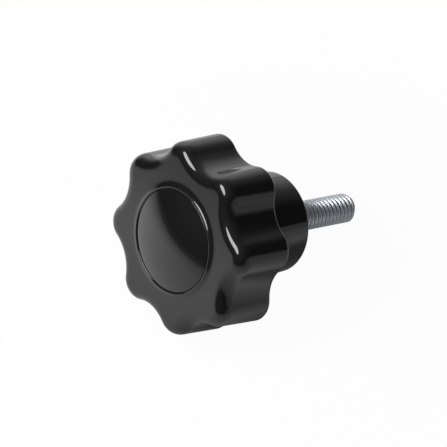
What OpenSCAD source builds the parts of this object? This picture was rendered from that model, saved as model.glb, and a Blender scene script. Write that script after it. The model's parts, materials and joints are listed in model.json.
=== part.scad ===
// Lobed clamping knob with a threaded steel stud and a pressed-in centre cap.
// It lies at rest on the rear edges of its two lower lobes and on the tip of its stud.
// Origin: centre of the hub's rear face, where the stud comes out. +Z is up, +X is across,
// and the stud points to +Y and slopes down.

/* [Lobed head] */
// Diameter over the lobe tips
head_d = 50.8; // [48:0.2:58]
// Thickness of the lobed head
head_h = 16.2; // [13:0.2:22]
// Radius of each lobe's tip
lobe_r = 6; // [5.4:0.1:7]
// Depth of the grip hollows between the lobe tips
grip_depth = 3.4; // [2.6:0.1:4.4]
// Rounding of the front edge, all along the outline
front_edge_r = 3.6; // [2:0.1:4]
// Rounding of the rear edge, all along the outline
rear_edge_r = 1.5; // [0.8:0.1:2.2]
// How far the sides draw in towards the front
draft_w = 0.7; // [0.2:0.1:1]

/* [Hub] */
// Diameter of the hub at its rear end
hub_d = 26.4; // [22:0.2:32]
// Length of the hub behind the lobed head
hub_h = 19; // [12:0.5:26]
// How much wider the hub is at the lobed head
hub_taper = 1.4; // [0:0.1:3]
// Rounding of the hub's rear edge
hub_edge_r = 0.8; // [0.4:0.1:1.5]

/* [Centre cap] */
// Diameter of the cap
cap_d = 26; // [24:0.2:28]
// Height of the cap's dome above its own edge
dome_h = 2.1; // [1:0.1:3.5]
// Thickness of the cap at its edge
cap_edge_h = 2; // [1.6:0.1:3]
// Bevel on the cap's edge
cap_bevel = 0.1; // [0.05:0.05:0.3]
// Wall of the cap's round skirt
skirt_wall = 1.4; // [1:0.1:2]
// Length of the skirt below the cap's seat
skirt_h = 4; // [2:0.5:6]

/* [Seat of the cap] */
// Height of the cap's rim above the flat face
rim_h = 0.4; // [0.2:0.05:0.8]
// Radius of the hollow sweep from the flat face up to the rim
sweep_r = 4.4; // [2:0.1:5]
// Bevel on the inside of the rim
lip_bevel = 0.4; // [0.2:0.05:0.6]
// How far the cap's edge lies below the top of the rim
cap_inset = 0.12; // [0:0.02:0.3]
// Width of the ledge that the cap sits on
ledge_w = 2.2; // [1.5:0.1:3]
// Gap at the side of the cap and of its skirt
cap_gap = 0.08; // [0.05:0.01:0.2]
// Depth of the well under the cap, from the flat face
well_depth = 12; // [8:0.5:12.5]

/* [Threaded stud] */
// Outer diameter of the thread
stud_d = 7.94; // [7.4:0.02:10]
// Length of the stud behind the hub
stud_l = 28; // [16:0.5:50]
// Pitch of the thread
pitch = 1.41; // [1.3:0.01:1.6]
// Depth of the thread
thread_depth = 0.82; // [0.6:0.02:0.86]
// Width of the thread's flat crest
crest_w = 0.2; // [0.1:0.05:0.25]
// Chamfer at the stud's tip
tip_chamfer = 1; // [0.6:0.1:1.5]
// Diameter of the plain shank inside the hub
shank_d = 7; // [5:0.1:7.2]
// Width across flats of the head that is moulded into the hub
anchor_af = 12.7; // [11:0.1:14]
// Thickness of that head
anchor_h = 5.2; // [4:0.1:6]

/* [Hidden] */
$fn = 96;
LOBES = 8;
LOBE_STEP = 360 / LOBES;
FRONT_STEPS = 6;
REAR_STEPS = 4;
OVER = 1;

// Outline of the lobed head: tip arcs and hollow arcs that run into each other.
// The tips stay a hair inside the ends of the hollows, so that the two cross cleanly.
TIP_RELIEF = 0.01;
head_r = head_d / 2;
tip_at = head_r - lobe_r;
waist_r = head_r - grip_depth;
half_step = LOBE_STEP / 2;
hollow_r = (pow(tip_at, 2) + pow(waist_r, 2) - 2 * tip_at * waist_r * cos(half_step) - pow(lobe_r, 2))
    / (2 * (lobe_r + tip_at * cos(half_step) - waist_r));
hollow_at = waist_r + hollow_r;

// Heights along the axis, counted from the flat front face to the rear
hub_end = head_h + hub_h;
tip_end = hub_end + stud_l;
cap_z = cap_inset - rim_h;
seat_z = cap_z + cap_edge_h;
anchor_end = well_depth + anchor_h;

// Cap, its seat and the sweep around it
cap_r = cap_d / 2;
dome_edge_r = cap_r - cap_bevel;
dome_r = (pow(dome_edge_r, 2) + pow(dome_h, 2)) / (2 * dome_h);
seat_r = cap_r + cap_gap;
well_r = seat_r - ledge_w;
skirt_r = well_r - cap_gap;
sweep_angle = acos(1 - rim_h / sweep_r);

// Stud; the thread's section is cut as rings, one pitch apart, counted back from the tip
stud_r = stud_d / 2;
anchor_r = anchor_af / 2 / cos(30);
flank_w = thread_depth * tan(30);
thread_end = tip_end - tip_chamfer;
turns = floor((stud_l - tip_chamfer - crest_w) / pitch);

// Resting slope of the axis: the two lower lobes and the stud's tip touch the ground
lobe_drop = tip_at * cos(half_step) + lobe_r - rear_edge_r - stud_r;
lobe_to_tip = thread_end - (head_h - rear_edge_r);
rest_angle = atan2(lobe_drop, lobe_to_tip) + asin(rear_edge_r / norm([lobe_drop, lobe_to_tip]));

// A rounded edge as points [distance in from the side, distance from the end]
function round_edge(r, steps) = [for (i = [0:steps]) let (a = 90 * i / steps) r * [1 - sin(a), 1 - cos(a)]];

function turned(points) = [for (i = [len(points) - 1:-1:0]) points[i]];

function draft_at(z) = draft_w * (1 - z / (head_h - rear_edge_r));

// Side of the lobed head as points [distance in from the full outline, height], front to rear
side = concat(
    [for (p = round_edge(front_edge_r, FRONT_STEPS)) [p.x + draft_at(p.y), p.y]],
    [for (p = turned(round_edge(rear_edge_r, REAR_STEPS))) [p.x, head_h - p.y]]
);

// Turns a piece that is built along +Z, its front face at zero, into the resting pose
module at_rest() {
    rotate([-90 - rest_angle, 0, 0]) translate([0, 0, -hub_end]) children();
}

// The round body of one lobe
module lobe() {
    wall = [for (p = side) [lobe_r - TIP_RELIEF - p.x, p.y]];
    rotate_extrude() polygon(concat([[0, 0]], wall, [[0, head_h]]));
}

// The cut that leaves one hollow with its rounded edges
module grip_hollow() {
    wall = [for (p = side) [hollow_r + p.x, p.y]];
    front = wall[0].x;
    rear = wall[len(wall) - 1].x;
    rotate_extrude() polygon(concat(
        [[0, -OVER], [front, -OVER]], wall, [[rear, head_h + OVER], [0, head_h + OVER]]
    ));
}

module lobed_head() {
    turn = [for (i = [0:LOBES - 1]) i * LOBE_STEP + half_step];
    star = [for (a = turn) each [
        tip_at * [cos(a), sin(a)],
        hollow_at * [cos(a + half_step), sin(a + half_step)]
    ]];
    difference() {
        linear_extrude(height = head_h) polygon(star);
        for (a = turn) rotate([0, 0, a + half_step]) translate([hollow_at, 0, 0]) grip_hollow();
    }
    for (a = turn) rotate([0, 0, a]) translate([tip_at, 0, 0]) lobe();
}

// The hub starts inside the lobed head
module hub() {
    hub_r = hub_d / 2;
    root_r = hub_r + hub_taper / 2;
    edge = [for (p = turned(round_edge(hub_edge_r, REAR_STEPS))) [hub_r - p.x, hub_end - p.y]];
    rotate_extrude() polygon(concat(
        [[0, head_h / 2], [root_r, head_h / 2], [root_r, head_h]], edge, [[0, hub_end]]
    ));
}

// The flat face sweeps up to the rim around the cap
module rim_sweep() {
    rim_r = seat_r + lip_bevel;
    foot_r = rim_r + sweep_r * sin(sweep_angle);
    sweep = [for (i = [0:FRONT_STEPS]) let (a = sweep_angle * i / FRONT_STEPS)
        [foot_r - sweep_r * sin(a), -sweep_r * (1 - cos(a))]];
    rotate_extrude() polygon(concat([[0, seat_z], [foot_r, seat_z]], sweep, [[0, -rim_h]]));
}

module knob_body() {
    color([0.06, 0.06, 0.065]) at_rest() difference() {
        union() {
            lobed_head();
            hub();
            rim_sweep();
        }
        translate([0, 0, -rim_h - OVER]) cylinder(r = seat_r, h = seat_z + rim_h + OVER);
        translate([0, 0, -rim_h]) cylinder(r1 = seat_r + lip_bevel, r2 = seat_r, h = lip_bevel);
        cylinder(r = well_r, h = well_depth);
        cylinder(r = anchor_r, h = anchor_end, $fn = 6);
        cylinder(d = shank_d, h = hub_end + OVER);
    }
}

module front_cap() {
    color([0.09, 0.09, 0.095]) at_rest() translate([0, 0, cap_z]) {
        intersection() {
            translate([0, 0, dome_r - dome_h]) sphere(r = dome_r);
            translate([0, 0, -dome_h - OVER]) cylinder(r = dome_edge_r, h = dome_h + OVER);
        }
        cylinder(r1 = dome_edge_r, r2 = cap_r, h = cap_bevel);
        translate([0, 0, cap_bevel]) cylinder(r = cap_r, h = cap_edge_h - cap_bevel);
        translate([0, 0, cap_edge_h]) difference() {
            cylinder(r = skirt_r, h = skirt_h);
            cylinder(r = skirt_r - skirt_wall, h = skirt_h + OVER);
        }
    }
}

// The threaded length: flat crests at full width, with a groove before each of them
module thread() {
    grooves = [for (i = [turns:-1:1]) let (start = thread_end - i * pitch) each [
        [stud_r, start],
        [stud_r - thread_depth, start + flank_w],
        [stud_r - thread_depth, start + pitch - crest_w - flank_w],
        [stud_r, start + pitch - crest_w]
    ]];
    tip = [[stud_r, thread_end], [stud_r - tip_chamfer, tip_end], [0, tip_end]];
    rotate_extrude() polygon(concat([[0, hub_end], [stud_r, hub_end]], grooves, tip));
}

// The hexagonal head and the plain shank are moulded into the hub
module threaded_stud() {
    color("silver") at_rest() {
        translate([0, 0, well_depth]) cylinder(r = anchor_r, h = anchor_h, $fn = 6);
        translate([0, 0, anchor_end]) cylinder(d = shank_d, h = hub_end - anchor_end);
        thread();
    }
}

knob_body();
front_cap();
threaded_stud();
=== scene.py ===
"""A lobed clamping knob with a domed centre cap and a zinc-plated threaded stud."""

import json
import math
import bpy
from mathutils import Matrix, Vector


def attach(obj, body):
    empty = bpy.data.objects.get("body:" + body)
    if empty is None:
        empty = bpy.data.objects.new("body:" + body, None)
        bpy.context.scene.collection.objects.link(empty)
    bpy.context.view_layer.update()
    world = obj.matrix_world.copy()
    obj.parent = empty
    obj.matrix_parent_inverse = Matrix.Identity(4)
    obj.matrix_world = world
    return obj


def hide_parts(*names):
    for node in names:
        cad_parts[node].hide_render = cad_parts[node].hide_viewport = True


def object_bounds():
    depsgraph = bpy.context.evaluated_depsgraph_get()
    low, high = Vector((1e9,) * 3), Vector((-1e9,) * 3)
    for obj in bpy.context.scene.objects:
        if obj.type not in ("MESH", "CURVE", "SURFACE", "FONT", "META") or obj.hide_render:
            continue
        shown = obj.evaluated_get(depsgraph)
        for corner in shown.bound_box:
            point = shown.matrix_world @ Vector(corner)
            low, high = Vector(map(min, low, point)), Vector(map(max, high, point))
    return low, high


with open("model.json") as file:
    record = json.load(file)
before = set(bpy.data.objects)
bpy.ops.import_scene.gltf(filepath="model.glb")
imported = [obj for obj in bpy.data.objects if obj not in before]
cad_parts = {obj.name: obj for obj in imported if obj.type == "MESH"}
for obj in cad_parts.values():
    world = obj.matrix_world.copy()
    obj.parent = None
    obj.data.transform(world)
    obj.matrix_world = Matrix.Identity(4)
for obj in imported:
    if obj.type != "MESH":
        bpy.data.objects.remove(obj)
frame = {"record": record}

from types import SimpleNamespace

import bmesh
import bpy
from bpy.props import FloatProperty, FloatVectorProperty, PointerProperty
from mathutils import Matrix, Vector

bl_info = {
    "name": "Clamping Knob",
    "version": (1, 0, 0),
    "blender": (4, 5, 0),
    "location": "3D View > Sidebar > Knob",
    "description": "Builds a lobed clamping knob with a centre cap and a threaded stud",
    "category": "Add Mesh",
}

MM = 0.001
SENSOR_MM = 36.0
LOBES = 8
HEX_SIDES = 6

# Steps of the mesh round each arc, up the sweep, round one turn of thread, across the table
TIP_STEPS = 12
HOLLOW_STEPS = 8
RING = LOBES * 2 * (TIP_STEPS + HOLLOW_STEPS)
FRONT_EDGE_STEPS = 24
REAR_EDGE_STEPS = 10
SMALL_EDGE_STEPS = 8
SWEEP_STEPS = 16
BEND_STEPS = 6
LIP_STEPS = 10
DOME_STEPS = 28
THREAD_STEPS = 96
TABLE_SEGMENTS = 8

# Angles in degrees: the sweep where it meets the rim, the thread's flanks, an edge shaded sharp
RIM_SLOPE = 33
THREAD_FLANK = 30
SHARP = 40
# The sweep up to the rim rises with this power of the way it has gone
SWEEP_POWER = 6
# Turns of thread beyond its length, half of them at each end, which are cut off
SPARE_TURNS = 3
# Distances in millimetres: a support ring from its edge, and points that are merged into one
SUPPORT = 0.25
MERGE = 1e-4
THREAD_MERGE = 1e-3

# Plastic: grain sizes and depth of its relief in millimetres, then what each pattern adds
FLOW_GRAIN, CLOUD_GRAIN, DUST_GRAIN = 9.0, 2.2, 0.25
FLOW_DEPTH = 0.02
CLOUD_RELIEF, CLOUD_TINT, CLOUD_GLOSS = 0.12, 0.1, 0.15
DUST_RANGE, DUST_ROUGHNESS = (0.62, 0.78), 0.05
# Zinc: the same, and how much rougher it is down in the thread
SPOT_GRAIN, ROLLING_GRAIN = 0.5, 0.09
ROLLING_DEPTH = 0.004
SPOT_TINT, SPOT_CENTRE, SPOT_ROUGHNESS = 0.25, 0.12, 0.12
ROOT_ROUGHNESS = 0.2
# How deep the zinc stays free of its painted shade, in shares of the thread's depth and the tip's
# chamfer
UNSHADED_CREST, UNSHADED_TIP = 0.35, 0.7

# Pale patches of the room that the gloss shows: azimuth, elevation and spread in degrees, strength
ROOM_GLOWS = ((-116, 26, 24, 0.45), (-121, 15, 45, 0.6), (-126, 26, 66, 0.3),
              (101, -16, 44, 0.4), (122, -8, 22, 0.3), (-14, 54, 66, 0.12), (0, 90, 72, 0.05))
# Painted pools of light on the table that the gloss shows: place and reach in millimetres, strength
TABLE_PAINTED_LIGHTS = (((-80, -95), 104, 0.75), ((-310, 150), 190, 1.1), ((430, 300), 260, 0.25))
# One more painted pool of light under the stud, which the painted shade under the knob doesn't dim
STUD_PAINTED_LIGHT = ((20, 32), 8, 1.3)
# The painted pools of light fade in along the table over this stretch, in millimetres
PAINTED_LIGHT_FROM = (-315, -235)
# Behind the knob they are dimmer: along the table, from the left, up to the right, and how much
DIM_ALONG, DIM_LEFT, DIM_RIGHT, DIM_SHARE = (95, 225), (-150, 50), (120, 220), 0.83
# The oval shade under the knob: middle and half size in millimetres, soft edge, light left in it
SHADE_AT, SHADE_SIZE, SHADE_EDGE, SHADE_LIGHT = (8, 20), (30, 62), (0.7, 1.3), 0.1
# The knob's shadow on the table fades out over this distance, in millimetres
SHADOW_FADE = (60, 130)

CAD_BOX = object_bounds()
STUD_MOUNT = next(mount for mount in frame["record"]["mounts"] if mount["name"] == "stud")
AXIS = Vector(STUD_MOUNT["axis"])
REST_ANGLE = math.atan2(-AXIS.z, AXIS.y)


# ---------------------------------------------------------------- sizes and colours

def length(name, size_mm, about):
    """A size in metres."""
    return FloatProperty(name=name, description=about, default=size_mm * MM, min=0.0,
                         precision=5, unit="LENGTH")


def angle(name, degrees, about):
    """An angle in radians."""
    return FloatProperty(name=name, description=about, default=math.radians(degrees),
                         unit="ROTATION", subtype="ANGLE")


def factor(name, value, about):
    """A share from 0 to 1."""
    return FloatProperty(name=name, description=about, default=value, min=0.0, max=1.0,
                         subtype="FACTOR")


def number(name, value, about):
    """A plain number."""
    return FloatProperty(name=name, description=about, default=value, min=0.0)


def colour(name, value, about):
    """A colour, in linear values."""
    return FloatVectorProperty(name=name, description=about, default=value, min=0.0, max=1.0,
                               size=3, subtype="COLOR")


class KnobHeadSizes(bpy.types.PropertyGroup):
    """The lobed head."""
    width: length("Width", 50.8, "Over the lobe tips")
    height: length("Thickness", 16.2, "From the flat front face to the rear face")
    lobe: length("Lobe", 6.0, "Radius of each lobe's tip")
    grip: length("Grip", 3.4, "Depth of the hollows between the lobes")
    front_reach: length("Front edge, face", 3.8, "How far its rounding reaches over the face")
    front_drop: length("Front edge, side", 3.3, "How far its rounding reaches down the side")
    rear_edge: length("Rear edge", 1.5, "Rounding of the rear edge")
    draft: length("Draft", 0.7, "How far the sides draw in towards the front")


class KnobHubSizes(bpy.types.PropertyGroup):
    """The hub behind the head."""
    width: length("Width", 26.4, "Diameter at the rear end")
    height: length("Length", 19.0, "From the head's rear face to the hub's")
    taper: length("Taper", 1.4, "How much wider the hub is at the head")
    root: length("Root", 0.5, "Rounding in the corner between hub and head")
    edge: length("Rear edge", 0.8, "Rounding of the rear edge")


class KnobCapSizes(bpy.types.PropertyGroup):
    """The centre cap and its seat."""
    width: length("Width", 26.0, "Diameter of the cap")
    dome: length("Dome", 2.1, "Height of the dome above the cap's edge")
    edge: length("Edge", 0.1, "Rounding of the cap's edge")
    inset: length("Inset", 0.12, "How far the cap's edge lies below the top of the rim")
    thickness: length("Thickness", 2.0, "Thickness at the edge")
    skirt_wall: length("Skirt wall", 1.4, "Wall of the round skirt below the cap")
    skirt: length("Skirt", 4.0, "Length of the skirt")
    rim: length("Rim", 0.4, "Height of the rim above the flat face")
    bend: length("Bend", 0.4, "Rounding on the outside of the rim")
    lip: length("Lip", 0.4, "Rounding on the inside of the rim")
    ledge: length("Ledge", 2.2, "Width of the ledge that the cap sits on")
    gap: length("Gap", 0.12, "Gap at the side of the cap")
    well: length("Well", 12.0, "Depth of the well under the cap")


class KnobStudSizes(bpy.types.PropertyGroup):
    """The threaded stud."""
    reach: length("Length", 28.0, "From the hub's rear face to the tip")
    pitch: length("Pitch", 1.41, "From one turn of the thread to the next")
    depth: length("Thread depth", 0.82, "From the crest to the root")
    crest: length("Crest", 0.2, "Width of the thread's flat crest")
    chamfer: length("Chamfer", 1.0, "Chamfer at the tip")
    shank: length("Shank", 7.0, "Diameter of the plain shank inside the hub")
    anchor: length("Anchor", 12.7, "Width across flats of the head inside the hub")
    anchor_height: length("Anchor height", 5.2, "Thickness of that head")


class KnobFinishes(bpy.types.PropertyGroup):
    """Colours and gloss."""
    plastic: colour("Plastic", (0.007, 0.007, 0.0072), "Moulded black plastic")
    plastic_roughness: factor("Plastic roughness", 0.085, "Roughness of the moulded plastic")
    plastic_ior: number("Plastic index", 1.56, "Refractive index of the moulded plastic")
    zinc: colour("Zinc", (0.86, 0.91, 0.97), "Zinc plating on the crests")
    # The colour down in the thread is painted shade, where the roots lie in shadow
    zinc_painted_shade: colour("Thread root", (0.14, 0.16, 0.19), "Zinc plating down in the thread")
    zinc_roughness: factor("Zinc roughness", 0.37, "Roughness of the plating")
    zinc_metal: factor("Zinc metal", 0.88, "How metallic the plating is")


class KnobStageSizes(bpy.types.PropertyGroup):
    """The camera, the table and the lamp."""
    azimuth: angle("Azimuth", 51.95, "The camera's turn round the knob")
    elevation: angle("Elevation", 45.86, "The camera's height over the table")
    distance: length("Distance", 506.0, "From the camera to its target")
    target: length("Target", 13.48, "How far in front of the hub's rear face the target lies")
    aside: length("Aside", 3.15, "How far the target lies right of the view's middle")
    below: length("Below", 1.28, "How far the target lies below the view's middle")
    view_width: length("View width", 114.1, "Width of the view at the target")
    table_size: length("Table size", 1200.0, "Side of the pale table")
    table: colour("Table", (0.8, 0.8, 0.8), "The pale table")
    glow: factor("Glow", 0.96, "How much of the table's white doesn't depend on the lamps")
    fill: number("Fill", 0.3, "Even light from all around")
    room: number("Room", 0.03, "What the gloss shows of the dark room around the table")
    dim: number("Dim table", 0.12, "What the gloss shows of the table far from the lamps")
    lamp_azimuth: angle("Lamp azimuth", -11.0, "The lamp's turn round the knob")
    lamp_elevation: angle("Lamp elevation", 45.8, "The lamp's height over the table")
    lamp_distance: length("Lamp distance", 308.0, "From the lamp to the hub's rear face")
    lamp_width: length("Lamp width", 216.0, "Width of the oval lamp")
    lamp_height: length("Lamp height", 130.0, "Height of the oval lamp")
    lamp_roll: angle("Lamp roll", -31.0, "The lamp's turn about its own beam")
    lamp_radiance: number("Lamp radiance", 10.0, "How bright the lamp's face is")


def millimetres(group):
    """The lengths of a group as plain numbers in millimetres."""
    names = [name for name in group.bl_rna.properties.keys() if name not in ("rna_type", "name")]
    return SimpleNamespace(**{name: round(getattr(group, name) / MM, 5) for name in names})


# ---------------------------------------------------------------- mesh helpers

def only_verts(items):
    """The vertices among what a bmesh operator has made."""
    return [item for item in items if isinstance(item, bmesh.types.BMVert)]


class Profile:
    """A line in the XZ plane of a mesh, drawn point by point and then turned about the Z axis."""

    def __init__(self, bm, radius, height):
        self.bm = bm
        self.before = set(bm.verts)
        self.end = bm.verts.new((radius, 0, height))

    def to(self, radius, height):
        """Goes straight to a point."""
        self.end = bmesh.ops.extrude_vert_indiv(self.bm, verts=[self.end])["verts"][0]
        self.end.co = (radius, 0, height)
        return self

    def flat_to(self, radius, height):
        """Goes straight to a point; a support ring near each end keeps the shading flat."""
        start = self.end.co.copy()
        stop = Vector((radius, 0, height))
        margin = (stop - start).normalized() * SUPPORT
        self.to(*(start + margin).xz)
        self.to(*(stop - margin).xz)
        return self.to(radius, height)

    def arc(self, radius, height, degrees, steps):
        """Goes round a centre; a positive angle turns from +Z towards +X."""
        made = bmesh.ops.spin(self.bm, geom=[self.end], cent=(radius, 0, height), axis=(0, 1, 0),
                              angle=math.radians(degrees), steps=steps)
        self.end = only_verts(made["geom_last"])[0]
        return self

    def turn(self, steps):
        """Turns the line into a closed skin."""
        line = [vert for vert in self.bm.verts if vert not in self.before]
        edges = [edge for edge in self.bm.edges if edge.verts[0] not in self.before]
        bmesh.ops.spin(self.bm, geom=line + edges, cent=(0, 0, 0), axis=(0, 0, 1),
                       angle=math.tau, steps=steps, use_merge=True)
        turned = [vert for vert in self.bm.verts if vert not in self.before]
        bmesh.ops.remove_doubles(self.bm, verts=turned, dist=MERGE)


def cover(bm, edges, faces_rear):
    """Closes a flat loop of edges with one face that looks along +Z if it faces the rear."""
    face = bmesh.ops.contextual_create(bm, geom=edges)["faces"][0]
    face.normal_update()
    if (face.normal.z > 0) != faces_rear:
        face.normal_flip()
    return face


def step_in(bm, face, points):
    """Insets a face again and again, from each point [distance in, distance along] to the next."""
    for here, there in zip(points, points[1:]):
        bmesh.ops.inset_region(bm, faces=[face], thickness=there[0] - here[0],
                               depth=there[1] - here[1], use_even_offset=True, use_boundary=True)


def open_ring(bm):
    """The edges of the one opening that a mesh has."""
    return [edge for edge in bm.edges if edge.is_boundary]


def open_to_ring(bm, face):
    """Replaces a flat face by a band between its border and the mesh's one open ring inside it."""
    ring = open_ring(bm)
    border = list(face.edges)
    bmesh.ops.delete(bm, geom=[face], context="FACES_ONLY")
    bmesh.ops.triangle_fill(bm, edges=border + ring, normal=(0, 0, 1))


def rounding(radius, steps):
    """Points [distance in, distance along] from the side of an edge over to its end face."""
    turns = [math.pi / 2 * step / steps for step in range(steps + 1)]
    return [(radius * (1 - math.cos(turn)), radius * math.sin(turn)) for turn in turns]


def easing_edge(reach, drop, steps):
    """The same for an edge that bends less and less as it reaches over its end face."""
    points = [Vector((0, 0))]
    for step in range(steps):
        slope = math.pi / 2 * (1 - (step + 0.5) / steps)**2
        points.append(points[-1] + Vector((math.cos(slope), math.sin(slope))))
    return [(reach * x / points[-1].x, drop * y / points[-1].y) for x, y in points]


def at_rest(hub_end):
    """From the knob's own upright frame in millimetres to its resting pose in metres."""
    return (Matrix.Rotation(-math.pi / 2 - REST_ANGLE, 4, "X")
            @ Matrix.Scale(MM, 4) @ Matrix.Translation((0, 0, -hub_end)))


def new_piece(name, bm, matrix, node, material):
    """Makes a smooth object from a mesh, which stands for one CAD node."""
    bmesh.ops.recalc_face_normals(bm, faces=bm.faces)
    bmesh.ops.transform(bm, matrix=matrix, verts=bm.verts)
    for face in bm.faces:
        face.smooth = True
    mesh = bpy.data.meshes.new(name)
    bm.to_mesh(mesh)
    bm.free()
    mesh.set_sharp_from_angle(angle=math.radians(SHARP))
    mesh.materials.append(material)
    piece = bpy.data.objects.new(name, mesh)
    bpy.context.scene.collection.objects.link(piece)
    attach(piece, "root")
    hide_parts(node)
    return piece


# ---------------------------------------------------------------- shapes

def lobe_outline(head, turn):
    """The closed outline of the lobed head: tip arcs and hollow arcs that run into each other."""
    bm = bmesh.new()
    half = math.pi / LOBES
    tip_at = head.width / 2 - head.lobe
    waist = head.width / 2 - head.grip
    hollow = (tip_at**2 + waist**2 - 2 * tip_at * waist * math.cos(half) - head.lobe**2) / (
        2 * (head.lobe + tip_at * math.cos(half) - waist))
    tip_centre = Vector((tip_at, 0, 0))
    hollow_centre = Matrix.Rotation(half, 3, "Z") @ Vector((waist + hollow, 0, 0))
    tip_turn = math.atan2(hollow_centre.y, hollow_centre.x - tip_at)
    start = bm.verts.new((head.width / 2, 0, 0))
    made = bmesh.ops.spin(bm, geom=[start], cent=tip_centre, axis=(0, 0, 1),
                          angle=tip_turn, steps=TIP_STEPS)
    bmesh.ops.spin(bm, geom=only_verts(made["geom_last"])[:1], cent=hollow_centre,
                   axis=(0, 0, 1), angle=half - tip_turn, steps=HOLLOW_STEPS)
    bmesh.ops.mirror(bm, geom=bm.verts[:] + bm.edges[:], axis="Y", merge_dist=MERGE)
    lobe = bm.verts[:] + bm.edges[:]
    for step in range(1, LOBES):
        copy = bmesh.ops.duplicate(bm, geom=lobe)["geom"]
        bmesh.ops.rotate(bm, verts=only_verts(copy), cent=(0, 0, 0),
                         matrix=Matrix.Rotation(2 * half * step, 3, "Z"))
    bmesh.ops.remove_doubles(bm, verts=bm.verts, dist=MERGE)
    bmesh.ops.rotate(bm, verts=bm.verts, cent=(0, 0, 0), matrix=Matrix.Rotation(turn, 3, "Z"))
    return bm


def head_sides(bm, head):
    """Raises both sides of the head from its widest outline and returns its two end faces."""
    widest = head.height - head.rear_edge
    bmesh.ops.translate(bm, verts=bm.verts, vec=(0, 0, widest))
    slope = head.draft / widest
    wall = widest - head.front_drop
    straight = [(slope * run, run) for run in (0, SUPPORT, wall / 2, wall - SUPPORT)]
    curved = [(across + slope * (wall + along), wall + along)
              for across, along in easing_edge(head.front_reach, head.front_drop,
                                               FRONT_EDGE_STEPS)]
    front = cover(bm, bm.edges[:], faces_rear=False)
    step_in(bm, front, straight + curved + [(curved[-1][0] + SUPPORT, widest)])
    rear = cover(bm, open_ring(bm), faces_rear=True)
    edge = rounding(head.rear_edge, REAR_EDGE_STEPS)
    step_in(bm, rear, edge + [(edge[-1][0] + SUPPORT, head.rear_edge)])
    return front, rear


def seat_skin(bm, cap):
    """From the flat front face up the sweep to the rim, then down the seat and the well."""
    seat_r = cap.width / 2 + cap.gap
    well_r = seat_r - cap.ledge
    crest_r = seat_r + cap.lip
    slope = math.radians(RIM_SLOPE)
    rise = cap.rim - cap.bend * (1 - math.cos(slope))
    bend_w = cap.bend * math.sin(slope)
    sweep_w = SWEEP_POWER * rise / math.tan(slope)
    seat = cap.inset - cap.rim + cap.thickness
    profile = Profile(bm, crest_r + bend_w + sweep_w + SUPPORT, 0)
    for step in range(SWEEP_STEPS + 1):
        run = step / SWEEP_STEPS
        profile.to(crest_r + bend_w + sweep_w * (1 - run), -rise * run**SWEEP_POWER)
    profile.arc(crest_r, cap.bend - cap.rim, RIM_SLOPE, BEND_STEPS)
    profile.arc(crest_r, cap.lip - cap.rim, 90, LIP_STEPS)
    profile.flat_to(seat_r, seat)
    profile.flat_to(well_r, seat)
    profile.flat_to(well_r, cap.well)
    profile.to(0, cap.well)
    profile.turn(RING)


def hub_skin(bm, head, hub):
    """From the head's rear face down the tapered hub to its rear face."""
    end = head.height + hub.height
    hub_r = hub.width / 2
    root_r = hub_r + hub.taper / 2
    lean = math.degrees(math.atan2(hub.taper / 2, hub.height - hub.edge))
    profile = Profile(bm, root_r + hub.root + SUPPORT, head.height)
    profile.to(root_r + hub.root, head.height)
    profile.arc(root_r + hub.root, head.height + hub.root, 90 - lean, SMALL_EDGE_STEPS)
    edge_turn = math.radians(90 - lean)
    profile.flat_to(hub_r + hub.edge * (math.sin(edge_turn) - 1),
                    end + hub.edge * (math.cos(edge_turn) - 1))
    profile.arc(hub_r - hub.edge, end - hub.edge, lean - 90, SMALL_EDGE_STEPS)
    profile.to(hub_r - hub.edge - SUPPORT, end)
    profile.to(0, end)
    profile.turn(RING)


def cap_skin(bm, cap):
    """The domed cap with its rounded edge, its flat underside and its skirt."""
    cap_r = cap.width / 2
    top = cap.inset - cap.rim
    under = top + cap.thickness
    dome_r = ((cap_r - cap.edge)**2 + cap.dome**2) / (2 * cap.dome)
    lean = math.asin((cap_r - cap.edge) / dome_r)
    edge_r = cap.edge / (1 - math.sin(lean))
    skirt_r = cap_r - cap.ledge
    profile = Profile(bm, 0, top - cap.dome)
    profile.arc(0, dome_r + top - cap.dome, -math.degrees(lean), DOME_STEPS)
    profile.arc(cap_r - edge_r, edge_r * math.cos(lean) + top, math.degrees(lean) - 90,
                SMALL_EDGE_STEPS)
    profile.flat_to(cap_r, under)
    profile.flat_to(skirt_r, under)
    profile.flat_to(skirt_r, under + cap.skirt)
    profile.to(skirt_r - cap.skirt_wall, under + cap.skirt)
    profile.to(skirt_r - cap.skirt_wall, under)
    profile.to(0, under)
    profile.turn(RING)


def thread_line(stud, crest_r):
    """Points [radius, height] along one turn's section, from the middle of one root to the next.

    Each corner has a support point on both sides, a fifth of the crest's width away.
    """
    flank = math.radians(THREAD_FLANK)
    slope = Vector((math.cos(flank), math.sin(flank)))
    root = Vector((crest_r - stud.depth, 0))
    crest = Vector((crest_r, (stud.pitch - stud.crest) / 2))
    foot = crest - slope * (stud.depth / slope.x)
    soft = stud.crest / 5
    half = [root, foot - Vector((0, soft)), foot + slope * soft, (foot + crest) / 2,
            crest - slope * soft, crest + Vector((0, soft))]
    return half + [Vector((point.x, stud.pitch - point.y)) for point in reversed(half)]


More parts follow.
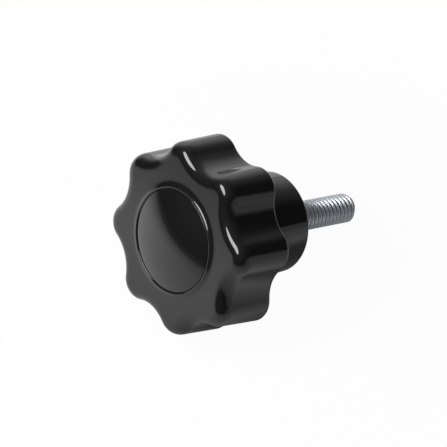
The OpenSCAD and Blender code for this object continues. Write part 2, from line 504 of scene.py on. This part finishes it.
def thread_skin(bm, stud, start, end):
    """One turn of thread, repeated past both ends, narrowed to the chamfer and cut to length.

    The face at the tip gets a support ring.
    """
    crest_r = STUD_MOUNT["dims"]["r_mm"]
    first, *rest = thread_line(stud, crest_r)
    height = start - SPARE_TURNS / 2 * stud.pitch
    profile = Profile(bm, first.x, height)
    for point in rest:
        profile.to(point.x, height + point.y)
    bmesh.ops.spin(bm, geom=bm.verts[:] + bm.edges[:], cent=(0, 0, 0), axis=(0, 0, 1),
                   angle=math.tau, steps=THREAD_STEPS, dvec=(0, 0, stud.pitch / THREAD_STEPS))
    turn = bm.verts[:] + bm.edges[:] + bm.faces[:]
    for step in range(1, math.ceil((end - start) / stud.pitch) + SPARE_TURNS):
        copy = bmesh.ops.duplicate(bm, geom=turn)["geom"]
        bmesh.ops.translate(bm, verts=only_verts(copy), vec=(0, 0, step * stud.pitch))
    bmesh.ops.remove_doubles(bm, verts=bm.verts, dist=THREAD_MERGE)
    for vert in bm.verts:
        cone_r = crest_r - stud.chamfer + end - vert.co.z
        if vert.co.xy.length > cone_r > 0:
            vert.co.xy = vert.co.xy.normalized() * cone_r
    for height, side in ((start, "clear_inner"), (end, "clear_outer")):
        cut = bmesh.ops.bisect_plane(bm, geom=bm.verts[:] + bm.edges[:] + bm.faces[:],
                                     dist=THREAD_MERGE, plane_co=(0, 0, height),
                                     plane_no=(0, 0, 1), **{side: True})
        rim = [item for item in cut["geom_cut"] if isinstance(item, bmesh.types.BMEdge)]
        end_face = bmesh.ops.contextual_create(bm, geom=rim)["faces"][0]
    bmesh.ops.inset_region(bm, faces=[end_face], thickness=stud.crest, use_even_offset=False)


def anchor_skin(bm, stud, well, end):
    """The plain shank and the hexagonal head that hold the stud inside the hub."""
    shoulder = well + stud.anchor_height
    corner_r = stud.anchor / 2 / math.cos(math.pi / HEX_SIDES)
    head = Profile(bm, 0, well).to(corner_r, well).to(corner_r, shoulder).to(0, shoulder)
    head.turn(HEX_SIDES)
    shank_r = stud.shank / 2
    shank = Profile(bm, 0, shoulder).to(shank_r, shoulder).to(shank_r, end).to(0, end)
    shank.turn(THREAD_STEPS)


# ---------------------------------------------------------------- shader expressions

class Signal:
    """An output socket that takes part in sums and products."""

    def __init__(self, shader, socket):
        self.shader = shader
        self.socket = socket

    def math(self, operation, *values):
        """A sum, a product or the like."""
        return self.shader.node("Math", {"operation": operation}, dict(enumerate(values)))

    def squared(self):
        """The value times itself."""
        return self.math("MULTIPLY", self, self)

    def __add__(self, other):
        return self.math("ADD", self, other)

    def __sub__(self, other):
        return self.math("SUBTRACT", self, other)

    def __rsub__(self, other):
        return self.math("SUBTRACT", other, self)

    def __mul__(self, other):
        return self.math("MULTIPLY", self, other)

    def __truediv__(self, other):
        return self.math("DIVIDE", self, other)

    def __rtruediv__(self, other):
        return self.math("DIVIDE", other, self)

    __radd__ = __add__
    __rmul__ = __mul__

    def between(self, low, high):
        """0 up to low, 1 from high on, and smooth in between."""
        return self.shader.node("MapRange", {"interpolation_type": "SMOOTHSTEP"},
                                {"Value": self, "From Min": low, "From Max": high})


class Shader:
    """A node tree that is filled by expressions."""

    def __init__(self, owner, kind="Material"):
        self.owner = owner
        self.kind = kind
        owner.use_nodes = True
        self.tree = owner.node_tree
        self.tree.nodes.clear()

    def node(self, kind, settings=None, inputs=None, output=0):
        """Adds a node, makes its settings, fills or links its sockets and returns one output."""
        node = self.tree.nodes.new("ShaderNode" + kind)
        for name, value in (settings or {}).items():
            setattr(node, name, value)
        for name, value in (inputs or {}).items():
            if isinstance(value, Signal):
                self.tree.links.new(value.socket, node.inputs[name])
            else:
                node.inputs[name].default_value = value
        return Signal(self, node.outputs[output])

    def place(self):
        """Object coordinates, which are the row's own frame in metres."""
        return self.node("TexCoord", output="Object")

    def noise(self, grain_mm, detail=2.0):
        """Soft blotches of a given size, from 0 to 1."""
        return self.node("TexNoise", None, {"Vector": self.place(), "Scale": 1 / (grain_mm * MM),
                                            "Detail": detail})

    def painted_light_pool(self, place, spot, reach, strength):
        """A painted pool of light round a spot, which fades to half at its reach."""
        away = self.vector("DISTANCE", place, (*spot, 0)) / reach
        return strength / (1 + away.squared())

    def vector(self, operation, first, second=None, scale=None):
        """Vector maths; a length, a distance or a dot product comes out as a number."""
        output = "Value" if operation in ("LENGTH", "DISTANCE", "DOT_PRODUCT") else "Vector"
        values = {0: first, 1: second, "Scale": scale}
        given = {socket: value for socket, value in values.items() if value is not None}
        return self.node("VectorMath", {"operation": operation}, given, output)

    def axis(self, vector, name):
        """One of a vector's three numbers."""
        return self.node("SeparateXYZ", None, {"Vector": vector}, name)

    def bump(self, height, depth_mm):
        """A normal that follows a height from 0 to 1, which stands for a depth."""
        return self.node("Bump", None, {"Height": height, "Distance": depth_mm * MM})

    def mix(self, share, first, second):
        """A colour between two colours."""
        return self.node("Mix", {"data_type": "RGBA"}, {0: share, 6: first, 7: second}, output=2)

    def blend(self, share, first, second):
        """A shader between two shaders."""
        return self.node("MixShader", None, {0: share, 1: first, 2: second})

    def ray(self, kind):
        """1 where a ray of this kind asks, 0 elsewhere."""
        return self.node("LightPath", output=f"Is {kind} Ray")

    def finish(self, surface):
        """Puts a shader out as the surface and returns the material or the world."""
        output = self.tree.nodes.new("ShaderNodeOutput" + self.kind)
        self.tree.links.new(surface.socket, output.inputs["Surface"])
        return self.owner


def opaque(value):
    """A colour's three values with full alpha."""
    return (*value, 1.0)


# ---------------------------------------------------------------- finishes

def black_plastic(name, finishes):
    """Glossy moulded plastic with a faint flow of the skin and a fine variation of gloss."""
    shader = Shader(bpy.data.materials.new(name))
    flow = shader.noise(FLOW_GRAIN, detail=1.0)
    cloud = shader.noise(CLOUD_GRAIN, detail=3.0)
    dust = shader.noise(DUST_GRAIN).between(*DUST_RANGE)
    roughness = (finishes.plastic_roughness * (1 - CLOUD_GLOSS + 2 * CLOUD_GLOSS * cloud)
                 + DUST_ROUGHNESS * dust)
    base = shader.mix(cloud, opaque([(1 - CLOUD_TINT) * part for part in finishes.plastic]),
                      opaque([(1 + CLOUD_TINT) * part for part in finishes.plastic]))
    return shader.finish(shader.node("BsdfPrincipled", None, {
        "Base Color": base, "Roughness": roughness, "IOR": finishes.plastic_ior,
        "Normal": shader.bump(flow + CLOUD_RELIEF * cloud, FLOW_DEPTH)}))


def zinc_plating(name, finishes, stud):
    """Zinc, bright on the crests and the tip, with painted shade down in the thread and fine
    rolling marks.
    """
    shader = Shader(bpy.data.materials.new(name))
    upright = shader.node("Mapping", {"vector_type": "POINT"}, {
        "Vector": shader.place(), "Rotation": (math.pi / 2 + REST_ANGLE, 0, 0)})
    radius = shader.vector("LENGTH", shader.vector("MULTIPLY", upright, (1 / MM, 1 / MM, 0)))
    crest_r = STUD_MOUNT["dims"]["r_mm"]
    # A mask that is 0 in the thread's root and 1 on the crests and the tip: the painted shade and
    # the extra roughness follow it
    flank = radius.between(crest_r - stud.depth, crest_r - UNSHADED_CREST * stud.depth)
    tip = (shader.axis(upright, "Z") / MM).between(stud.reach - stud.chamfer,
                                                   stud.reach - UNSHADED_TIP * stud.chamfer)
    height = tip + flank * (1 - tip)
    spots = shader.noise(SPOT_GRAIN, detail=4.0)
    grain = shader.noise(ROLLING_GRAIN)
    # Base colour: the zinc, with painted shade in the thread's roots, moved about by random spots
    zinc_with_painted_shade = shader.mix((height + SPOT_TINT * spots - SPOT_CENTRE).between(0.0, 1.0),
                      opaque(finishes.zinc_painted_shade), opaque(finishes.zinc))
    roughness = (finishes.zinc_roughness + ROOT_ROUGHNESS * (1 - height)
                 + SPOT_ROUGHNESS * (spots - 0.5))
    return shader.finish(shader.node("BsdfPrincipled", None, {
        "Base Color": zinc_with_painted_shade, "Metallic": finishes.zinc_metal, "Roughness": roughness,
        "Normal": shader.bump(grain, ROLLING_DEPTH)}))


def table_top(name, stage):
    """A pale table, white to the eye but for the knob's shadow; the gloss sees painted pools of
    light and a painted shadow under the knob.
    """
    shader = Shader(bpy.data.materials.new(name))
    place = shader.vector("SCALE", shader.place(), scale=1 / MM)
    across, along = shader.axis(place, "X"), shader.axis(place, "Y")
    # Painted pools of light on the table, which only the gloss sees
    glow = sum(shader.painted_light_pool(place, *painted_light_pool) for painted_light_pool in TABLE_PAINTED_LIGHTS)
    front = along.between(*PAINTED_LIGHT_FROM)
    back = 1 - (DIM_SHARE * along.between(*DIM_ALONG) * across.between(*DIM_LEFT)
                * (1 - across.between(*DIM_RIGHT)))
    oval = shader.vector("MULTIPLY", place, (1 / SHADE_SIZE[0], 1 / SHADE_SIZE[1], 0))
    middle = (SHADE_AT[0] / SHADE_SIZE[0], SHADE_AT[1] / SHADE_SIZE[1], 0)
    shade = shader.vector("DISTANCE", oval, middle).between(*SHADE_EDGE)
    painted_light_under_stud = shader.painted_light_pool(place, *STUD_PAINTED_LIGHT)
    # What the gloss sees of the table: painted light, dimmed by a painted shadow under the knob,
    # and a painted pool of light under the stud
    painted_light_and_shade = (stage.dim + front * back * glow) * (SHADE_LIGHT + (1 - SHADE_LIGHT) * shade)
    gloss = shader.node("Emission", None, {"Color": painted_light_and_shade + painted_light_under_stud, "Strength": 1.0})
    paint = shader.node("BsdfDiffuse", None, {"Color": opaque(stage.table)})
    white = shader.node("Emission", None, {"Strength": 1.0})
    clear = shader.vector("LENGTH", place).between(*SHADOW_FADE)
    seen = shader.blend(shader.ray("Camera") * (stage.glow + (1 - stage.glow) * clear),
                        paint, white)
    return shader.finish(shader.blend(shader.ray("Glossy"), seen, gloss))


# ---------------------------------------------------------------- stage

def direction(azimuth, elevation):
    """Outwards from the knob, in radians; azimuth 0 is -Y and grows towards +X."""
    flat = math.cos(elevation)
    return Vector((math.sin(azimuth) * flat, -math.cos(azimuth) * flat, math.sin(elevation)))


def add_soft_box(stage):
    """An oval lamp that faces the knob; it shows in the gloss and not to the camera."""
    outwards = direction(stage.lamp_azimuth, stage.lamp_elevation)
    data = bpy.data.lights.new("main_soft_box", "AREA")
    data.shape = "ELLIPSE"
    data.size = stage.lamp_width
    data.size_y = stage.lamp_height
    oval = math.pi / 4 * stage.lamp_width * stage.lamp_height
    data.energy = stage.lamp_radiance * math.pi * oval
    lamp = bpy.data.objects.new("main_soft_box", data)
    lamp.location = outwards * stage.lamp_distance
    facing = outwards.to_track_quat("Z", "Y").to_matrix()
    lamp.rotation_euler = (facing @ Matrix.Rotation(stage.lamp_roll, 3, "Z")).to_euler()
    lamp.visible_camera = False
    bpy.context.scene.collection.objects.link(lamp)


def add_camera(stage):
    """The scene's camera, held level and a little beside its target."""
    forward = -direction(stage.azimuth, stage.elevation)
    right = forward.cross(Vector((0, 0, 1))).normalized()
    up = right.cross(forward)
    data = bpy.data.cameras.new("camera")
    data.sensor_width = SENSOR_MM
    data.lens = SENSOR_MM * stage.distance / stage.view_width
    data.clip_start = stage.distance / 100
    camera = bpy.data.objects.new("camera", data)
    camera.location = (-AXIS * stage.target - right * stage.aside + up * stage.below
                       - forward * stage.distance)
    camera.rotation_euler = forward.to_track_quat("-Z", "Y").to_euler()
    bpy.context.scene.collection.objects.link(camera)
    bpy.context.scene.camera = camera


def add_table(stage):
    """The pale table, which isn't part of the knob."""
    bm = bmesh.new()
    bmesh.ops.create_grid(bm, x_segments=TABLE_SEGMENTS, y_segments=TABLE_SEGMENTS,
                          size=stage.table_size / 2)
    bmesh.ops.translate(bm, verts=bm.verts, vec=(0, 0, CAD_BOX[0][2]))
    mesh = bpy.data.meshes.new("table")
    bm.to_mesh(mesh)
    bm.free()
    mesh.materials.append(table_top("pale_table", stage))
    table = bpy.data.objects.new("table", mesh)
    bpy.context.scene.collection.objects.link(table)


def add_world(stage):
    """White to the eye, an even fill for colours, and a dark room with pale patches for gloss."""
    world = bpy.data.worlds.new("studio")
    bpy.context.scene.world = world
    shader = Shader(world, "World")
    bearing = shader.node("TexCoord", output="Generated")
    room = stage.room
    for azimuth, elevation, spread, strength in ROOM_GLOWS:
        middle = direction(math.radians(azimuth), math.radians(elevation))
        facing = shader.vector("DOT_PRODUCT", bearing, tuple(middle))
        room = room + strength * facing.between(math.cos(math.radians(spread)), 1.0)
    white = shader.node("Background", None, {"Color": opaque((1, 1, 1))})
    fill = shader.node("Background", None, {"Color": opaque([stage.fill] * 3)})
    gloss = shader.node("Background", None, {"Color": room})
    seen = shader.blend(shader.ray("Camera"), fill, white)
    shader.finish(shader.blend(shader.ray("Glossy"), seen, gloss))


# ---------------------------------------------------------------- operators

class BuildKnobBody(bpy.types.Operator):
    """Build the lobed head and its hub, moulded in one piece"""
    bl_idname = "knob.build_body"
    bl_label = "Body"

    def execute(self, context):
        scene = context.scene
        head, hub = millimetres(scene.knob_head), millimetres(scene.knob_hub)
        bm = lobe_outline(head, math.pi / LOBES)
        front, rear = head_sides(bm, head)
        seat_skin(bm, millimetres(scene.knob_cap))
        open_to_ring(bm, front)
        hub_skin(bm, head, hub)
        open_to_ring(bm, rear)
        new_piece("knob_shell", bm, at_rest(head.height + hub.height), "knob_body",
                  black_plastic("black_plastic_body", scene.knob_finishes))
        return {"FINISHED"}


class BuildKnobCap(bpy.types.Operator):
    """Build the domed cap in the middle of the front face"""
    bl_idname = "knob.build_cap"
    bl_label = "Cap"

    def execute(self, context):
        scene = context.scene
        head, hub = millimetres(scene.knob_head), millimetres(scene.knob_hub)
        bm = bmesh.new()
        cap_skin(bm, millimetres(scene.knob_cap))
        new_piece("domed_cap", bm, at_rest(head.height + hub.height), "front_cap",
                  black_plastic("black_plastic_cap", scene.knob_finishes))
        return {"FINISHED"}


class BuildKnobStud(bpy.types.Operator):
    """Build the threaded stud with the head that anchors it in the hub"""
    bl_idname = "knob.build_stud"
    bl_label = "Stud"

    def execute(self, context):
        scene = context.scene
        head, hub = millimetres(scene.knob_head), millimetres(scene.knob_hub)
        cap, stud = millimetres(scene.knob_cap), millimetres(scene.knob_stud)
        hub_end = head.height + hub.height
        start = hub_end - stud.pitch
        bm = bmesh.new()
        thread_skin(bm, stud, start, hub_end + stud.reach)
        anchor_skin(bm, stud, cap.well, start + SUPPORT)
        new_piece("stud_thread", bm, at_rest(hub_end), "threaded_stud",
                  zinc_plating("zinc_plating", scene.knob_finishes, stud))
        return {"FINISHED"}


class BuildKnobStage(bpy.types.Operator):
    """Build the table, the lights and the camera"""
    bl_idname = "knob.build_stage"
    bl_label = "Stage"

    def execute(self, context):
        scene = context.scene
        stage = scene.knob_stage
        scene.view_settings.view_transform = "Standard"
        add_world(stage)
        add_table(stage)
        add_soft_box(stage)
        add_camera(stage)
        return {"FINISHED"}


class KnobPanel(bpy.types.Panel):
    """Sizes, finishes and the build steps"""
    bl_label = "Clamping Knob"
    bl_idname = "VIEW3D_PT_knob"
    bl_space_type = "VIEW_3D"
    bl_region_type = "UI"
    bl_category = "Knob"

    def draw(self, context):
        for title, (name, group) in GROUPS.items():
            box = self.layout.box()
            box.label(text=title)
            settings = getattr(context.scene, name)
            for setting in group.__annotations__:
                box.prop(settings, setting)
        for operator in OPERATORS:
            self.layout.operator(operator.bl_idname)


GROUPS = {
    "Head": ("knob_head", KnobHeadSizes),
    "Hub": ("knob_hub", KnobHubSizes),
    "Cap": ("knob_cap", KnobCapSizes),
    "Stud": ("knob_stud", KnobStudSizes),
    "Finishes": ("knob_finishes", KnobFinishes),
    "Stage": ("knob_stage", KnobStageSizes),
}
OPERATORS = (BuildKnobBody, BuildKnobCap, BuildKnobStud, BuildKnobStage)


def register():
    for name, group in GROUPS.values():
        bpy.utils.register_class(group)
        setattr(bpy.types.Scene, name, PointerProperty(type=group))
    for cls in OPERATORS + (KnobPanel,):
        bpy.utils.register_class(cls)


def unregister():
    for cls in reversed(OPERATORS + (KnobPanel,)):
        bpy.utils.unregister_class(cls)
    for name, group in reversed(GROUPS.values()):
        delattr(bpy.types.Scene, name)
        bpy.utils.unregister_class(group)


def main():
    register()
    bpy.ops.knob.build_body()
    bpy.ops.knob.build_cap()
    bpy.ops.knob.build_stud()
    bpy.ops.knob.build_stage()


if __name__ == "__main__":
    main()
